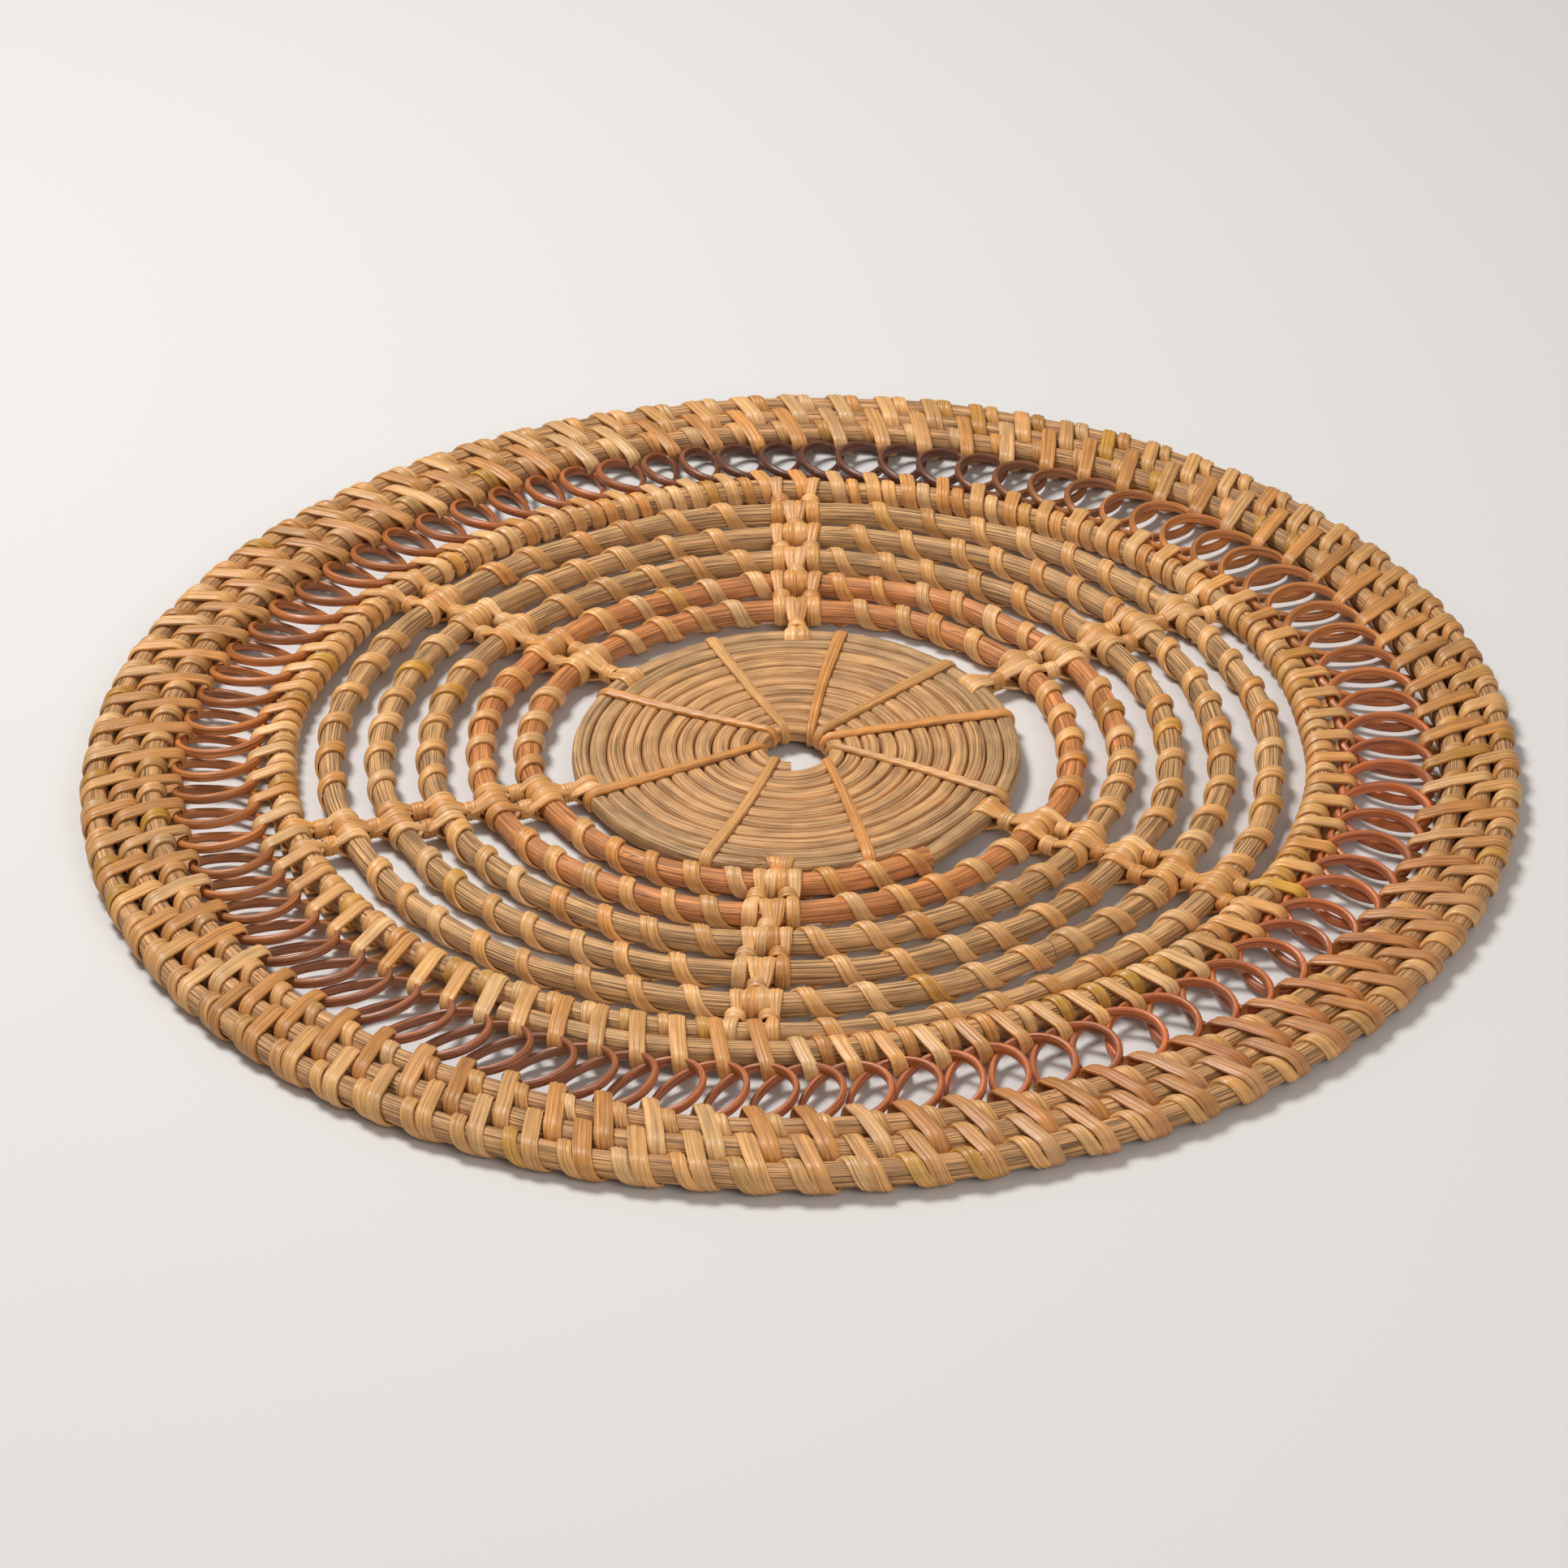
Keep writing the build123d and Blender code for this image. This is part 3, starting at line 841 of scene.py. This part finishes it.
def ring_wraps(angles, with_loops, taken):
    """Strips round the outermost rod, or the pressed pair, and the ends of the loops."""
    along, profiles = [], []
    for angle in angles:
        length, distance, beside = outer_rod(angle)
        if beside and not with_loops:
            length, beside = beside, None
        from_ties = np.linalg.norm(taken - spiral.points(length, 0, 0), axis=1)
        if not with_loops and np.min(from_ties) < short_wrap_clearance:
            continue
        circles = [(0.0, rod_radius + strip_seat)]
        if beside:
            circles.insert(0, (spiral.distance_at(beside) - distance, rod_radius + strip_seat))
        if with_loops:
            inner_end, _ = loop_ends(angle)
            circles.append((inner_end - distance, strand_radius + wrap_over_loop))
        along.append(length)
        profiles.append(loop_profile(circles))
    advance = long_wrap_advance if with_loops else short_wrap_advance
    lines, normals = wound(spiral, np.array(along), profiles, advance, strip_slant * 0.8, forward=-1)
    share = 1.0 if with_loops else short_strip_share
    widths = strip_width * (1 + chance.normal(0, 0.05, (len(along), 1))) * share
    yellow = 0.3 if with_loops else 2.5
    colours = mixed((straw, honey, cream, olive), (6, 3, 3, yellow), len(along))
    return ribbons(lines, normals, widths, colours)


def spoke(hole_angle, edge_angle):
    """A strip looped through the hole, over the coil and round its edge."""
    hole = coil.crossings(math.radians(hole_angle))[0]
    edge = coil.crossings(math.radians(edge_angle))[-1]
    start, end = coil.points(hole, 0, 0), coil.points(edge, 0, 0)
    run = end - start
    reach = np.hypot(run[0], run[1])
    way = np.array([run[0] / reach, run[1] / reach, 0])
    seat = core_radius + strip_seat
    profile, _ = loop_profile([(0.0, seat), (reach, seat)], 90)
    ripple = 0.10 * np.cos(full * profile[0] / core_pitch)
    flat_start = np.array([start[0], start[1], mid_height])
    line = flat_start + profile[0][:, None] * way + (profile[1] + ripple)[:, None] * [0, 0, 1]
    sway = spoke_sway * np.sin(math.pi * profile[0] / reach) * chance.uniform(-1, 1)
    bend = np.cross([0, 0, 1], way) * sway[:, None]
    normal = profile[2][:, None] * way + profile[3][:, None] * [0, 0, 1]
    width = np.interp(profile[0] / reach, (0, 1), spoke_widths)
    colour = mixed((straw, honey), (1, 3), 1)
    return ribbons((line + bend)[None], normal[None], width, colour, spoke_thickness)


def build_disc():
    """The centre coil with its frayed spot, and the strips that bind it."""
    end = coil.lengths[-1]
    strand = tube(coil, 0, end, core_radius, core_step, core_sides, grey_outwards, square=core_flatness)
    fray_place = coil.crossings(math.radians(fray_angle))[-1]
    fray = frayed(coil, fray_place, 14, 7, core_radius, paint(214, 170, 116))
    make_piece("centre_coil_strand", ["centre_coil"], core_finish, [strand] + fray)
    for number, angles in enumerate(spoke_angles, 1):
        strip = spoke(*angles)
        make_piece(f"spoke_strip_{number}", [f"spoke_{number}"], strip_finish, [strip])


def build_spiral_rods():
    """The rods of the spiral, end to end."""
    joins = list(after_turns([0, orange_turns, inner_tan_turns])) + [spiral.lengths[-1]]
    rods = (
        ("orange", "rod_orange", orange_finish, paint(206, 132, 74)),
        ("tan_inner", "rod_tan", tan_finish, paint(202, 152, 98)),
        ("tan_outer", "rod_tan", tan_finish, paint(206, 156, 102)),
    )
    for (name, slot, finish, colour), first, last in zip(rods, joins, joins[1:]):
        rod = tube(spiral, first, last - rod_gap, rod_radius, rod_step, rod_sides, plain(colour))
        make_piece(f"rod_{name}_cane", [f"rod_{name}"], finish, [rod])


def build_ties(necks):
    """The straps and knots of each tie."""
    for tie in range(len(tie_angles)):
        here = [neck for neck in necks if neck.tie == tie]
        straps = [part for neck in here for part in strap_parts(neck)]
        knots = [knot_part(neck) for neck in here]
        for kind, parts in (("strap", straps), ("knot", knots)):
            name = f"tie_{kind}_strips_{tie + 1}"
            make_piece(name, [f"tie_{kind}s_{tie + 1}"], whipping_finish, parts)


def build_whipping(taken):
    """The strips wound round the spiral, by turn, up to where the rods press together."""
    pressed_angle = np.interp(pressed_start, spiral.lengths, spiral.polar)
    doubled_start = spiral.crossings(pressed_angle)[-2]
    for turn, count in enumerate(whipping_wraps):
        first, last = after_turns([turn, turn + 1])
        if turn == len(whipping_wraps) - 1:
            count = round(count * (doubled_start - first) / (last - first))
            last = doubled_start
        parts = [whipping(first, last, count, taken)]
        for place in chance.uniform(first, last, 4):
            parts += frayed(spiral, place, 2, 6, rod_radius, straw)
        nodes = [f"whipping_turn_{turn + 1}"]
        make_piece(f"whipping_strips_{turn + 1}", nodes, whipping_finish, parts)


def build_loops(taken):
    """The loops and the strips that bind them to the outermost rod."""
    loops = np.arange(station_count)
    longer = ring_wraps([loop_angle(index) for index in loops], True, taken)
    shorter = ring_wraps([loop_angle(index + 0.5) for index in loops], False, taken)
    make_piece("ring_wrap_strips_long", ["ring_wraps_long"], whipping_finish, [longer])
    make_piece("ring_wrap_strips_short", ["ring_wraps_short"], whipping_finish, [shorter])
    make_piece("loop_coil_strand", ["loop_coil"], loop_finish, [loop_coil()])


def build_border():
    """The three rods of the border and the strips that lash them together."""
    colour = plain(paint(196, 144, 92))
    for name, ring in (("inner", inner_ring), ("middle", middle_ring), ("outer", outer_ring)):
        rod = tube(rings[ring], 0, full * ring, border_rod_radius, rod_step, rod_sides, colour, closed=True)
        make_piece(f"border_rod_{name}_cane", [f"border_rod_{name}"], border_rod_finish, [rod])

    seat = border_rod_radius + strip_seat
    one_rod = [(0.0, seat)]
    two_rods = [(0.0, seat), (outer_ring - middle_ring, seat)]
    loop_end = loop_ring + loop_radius - inner_ring
    loop_and_rods = [(loop_end, strand_radius + lashing_over_loop)] + two_rods
    tawny = paint(176, 110, 64)
    lashings = {
        "outer_long": (middle_ring, two_rods, straw, tawny, 0.3),
        "inner_long": (inner_ring, loop_and_rods, honey, brown, 0.3),
        "inner_short": (inner_ring, one_rod, straw, straw, 1.0),
        "outer_short": (outer_ring, one_rod, straw, straw, 2.0),
    }
    for name, (ring, circles, light, dark, yellow) in lashings.items():
        width = border_strip_width * (short_strip_share if "short" in name else 1)
        colours = border_colours(light, dark, yellow)
        parts = [lashing(ring, circles, lashing_offsets[name], width, colours)]
        if name == "inner_short":
            for place in chance.uniform(0, full * ring, 14):
                parts += frayed(rings[ring], place, 2, 5, border_rod_radius, straw)
        make_piece(f"lashing_strips_{name}", [f"lashing_{name}"], border_finish, parts)


def build():
    """Makes every piece of the tray."""
    build_disc()
    build_spiral_rods()
    necks = tie_necks()
    on_outer_rods = [spiral.points(neck.outer, 0, 0) for neck in necks]
    on_inner_rods = [spiral.points(neck.inner, 0, 0) for neck in necks if neck.gap]
    taken = np.array(on_outer_rods + on_inner_rods)
    build_ties(necks)
    build_whipping(taken)
    build_loops(taken)
    build_border()


# Surroundings


def make_floor():
    """A plain pale floor that just touches the tray's lowest point."""
    mesh = bpy.data.meshes.new("floor")
    size = 4.0
    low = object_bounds()[0][2]
    corners = [(-size, -size, low), (size, -size, low), (size, size, low), (-size, size, low)]
    mesh.from_pydata(corners, [], [(0, 1, 2, 3)])
    material = bpy.data.materials.new("floor")
    material.use_nodes = True
    shader = material.node_tree.nodes["Principled BSDF"]
    shader.inputs["Base Color"].default_value = (0.66, 0.635, 0.61, 1)
    shader.inputs["Roughness"].default_value = 0.8
    mesh.materials.append(material)
    floor = bpy.data.objects.new("floor", mesh)
    bpy.context.scene.collection.objects.link(floor)


def make_light(name, place, size, power):
    """A soft square light that points at the middle of the tray."""
    lamp = bpy.data.lights.new(name, "AREA")
    lamp.size = size
    lamp.energy = power
    light = bpy.data.objects.new(name, lamp)
    light.location = place
    light.rotation_euler = (-Vector(place)).to_track_quat("-Z", "Y").to_euler()
    bpy.context.scene.collection.objects.link(light)


def make_camera():
    """The camera at the photograph's angle, a long lens a little over a metre away."""
    height = math.radians(camera_elevation)
    middle = Vector((*camera_target, mid_height / metre))
    lens = bpy.data.cameras.new("camera")
    lens.sensor_width = 36
    lens.lens = lens_length
    lens.shift_x, lens.shift_y = lens_shift
    camera = bpy.data.objects.new("camera", lens)
    place = middle + camera_distance * Vector((0, -math.cos(height), math.sin(height)))
    turn = (middle - place).to_track_quat("-Z", "Y").to_matrix().to_4x4()
    roll = Matrix.Rotation(math.radians(camera_roll), 4, "Z")
    camera.matrix_world = Matrix.Translation(place) @ turn @ roll
    bpy.context.scene.collection.objects.link(camera)
    bpy.context.scene.camera = camera


def make_world():
    """Even pale light from all around."""
    world = bpy.data.worlds.new("studio")
    world.use_nodes = True
    background = world.node_tree.nodes["Background"]
    background.inputs["Color"].default_value = (1, 0.99, 0.97, 1)
    background.inputs["Strength"].default_value = 0.3
    bpy.context.scene.world = world


build()
make_floor()
make_light("key", (-0.45, 0.35, 1.15), size=0.4, power=15)
make_light("fill", (0.5, -0.9, 0.7), size=0.6, power=4)
make_world()
make_camera()
bpy.context.scene.view_settings.view_transform = "Standard"
